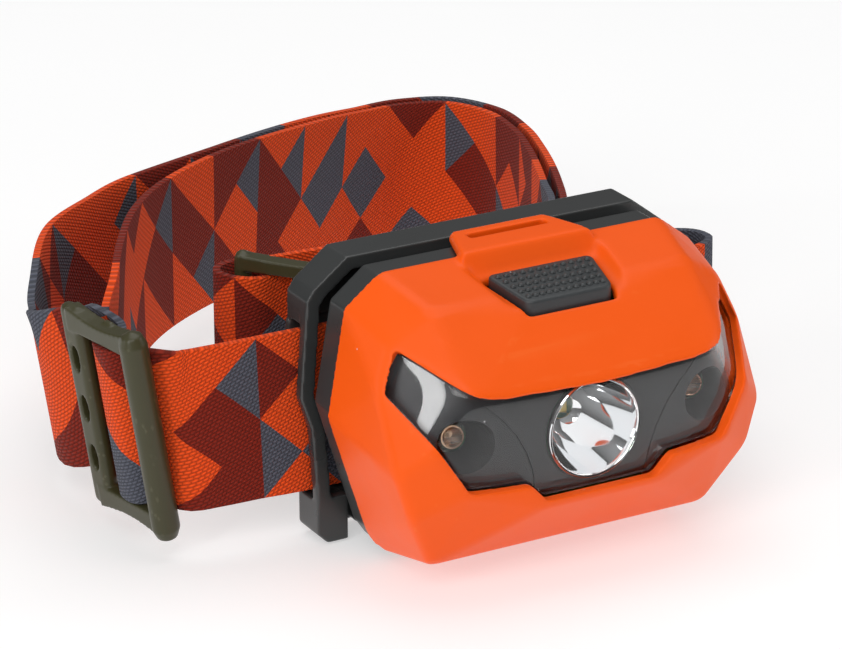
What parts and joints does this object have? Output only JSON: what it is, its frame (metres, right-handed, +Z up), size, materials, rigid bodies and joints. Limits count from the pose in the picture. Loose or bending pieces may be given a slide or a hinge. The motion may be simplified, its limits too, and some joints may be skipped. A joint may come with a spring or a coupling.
{
  "type": "headlamp",
  "caption": "Compact faceted headlamp with a wrap-around lens, on a tilting bracket and an adjustable elastic headband with moulded buckles.",
  "frame": {"origin": "middle of the flat underside of the rear housing shell, which the lamp stands on", "axes": "+Z up, -Y the way the beam points, +X towards the right of a viewer who faces the lens"},
  "size_m": [0.1125, 0.136, 0.045],
  "materials": {
    "orange_shell": "orange moulded plastic with a fine satin gloss",
    "grey_shell": "dark grey moulded plastic, satin",
    "panel_grey": "dark grey moulded plastic behind the lens",
    "rubber_grey": "dark grey moulded rubber with small domes",
    "clear": "clear moulded plastic",
    "chrome": "vacuum-metallised mirror",
    "steel": "plated steel",
    "emitter": "yellow phosphor",
    "board_green": "green solder mask",
    "cell_wrap": "printed metal can",
    "webbing": "woven elastic webbing in orange, dark red and slate grey",
    "olive": "olive green moulded plastic, satin"
  },
  "bodies": {
    "headband": {"bracket": "grey_shell", "tilt_pin_1": "steel", "tilt_pin_2": "steel", "slider_buckle": "olive", "triglide_buckle": "olive", "band_lamp_run": "webbing", "band_slider_weave": "webbing", "band_outer_loop": "webbing", "band_ring_fold": "webbing", "band_inner_loop": "webbing"},
    "rear_housing": {"rear_shell": "grey_shell", "body_seal": "rubber_grey", "contact_left_link": "steel", "contact_left_end": "steel", "contact_right_end": "steel", "contact_right_link": "steel", "battery_1": "cell_wrap", "battery_2": "cell_wrap", "battery_3": "cell_wrap", "lid_pin_1": "steel", "lid_pin_2": "steel"},
    "front_housing": {"front_shell": "orange_shell", "window_lens": "clear", "inner_panel": "panel_grey", "reflector": "chrome", "main_led_board": "board_green", "main_led": "emitter", "side_led_left": "clear", "side_led_right": "clear", "circuit_board": "board_green", "switch_body": "steel", "board_screw_left_1": "steel", "board_screw_right_1": "steel", "board_screw_left_2": "steel", "board_screw_right_2": "steel"},
    "button": {"button_pad": "rubber_grey"},
    "plunger": {"switch_plunger": "rubber_grey"}
  },
  "joints": [
    {"name": "lamp_tilt", "type": "hinge", "parent": "headband", "child": "rear_housing", "pos_m": [0, 0.0057, 0.003], "axis": [1, 0, 0], "range_deg": [0, 60]},
    {"name": "housing_open", "type": "hinge", "parent": "rear_housing", "child": "front_housing", "pos_m": [0, -0.0032, 0.0021], "axis": [1, 0, 0], "range_deg": [0, 75]},
    {"name": "button_press", "type": "slide", "parent": "front_housing", "child": "button", "axis": [0, 0, -1], "range_m": [0, 0.0006], "stiffness_N_per_m": 1500, "springref_m": -0.0004},
    {"name": "plunger_press", "type": "slide", "parent": "front_housing", "child": "plunger", "axis": [0, 0, -1], "range_m": [0, 0.00025]}
  ],
  "couplings": [
    {"joint": "plunger_press", "follows": "button_press", "ratio": 0.41667}
  ]
}
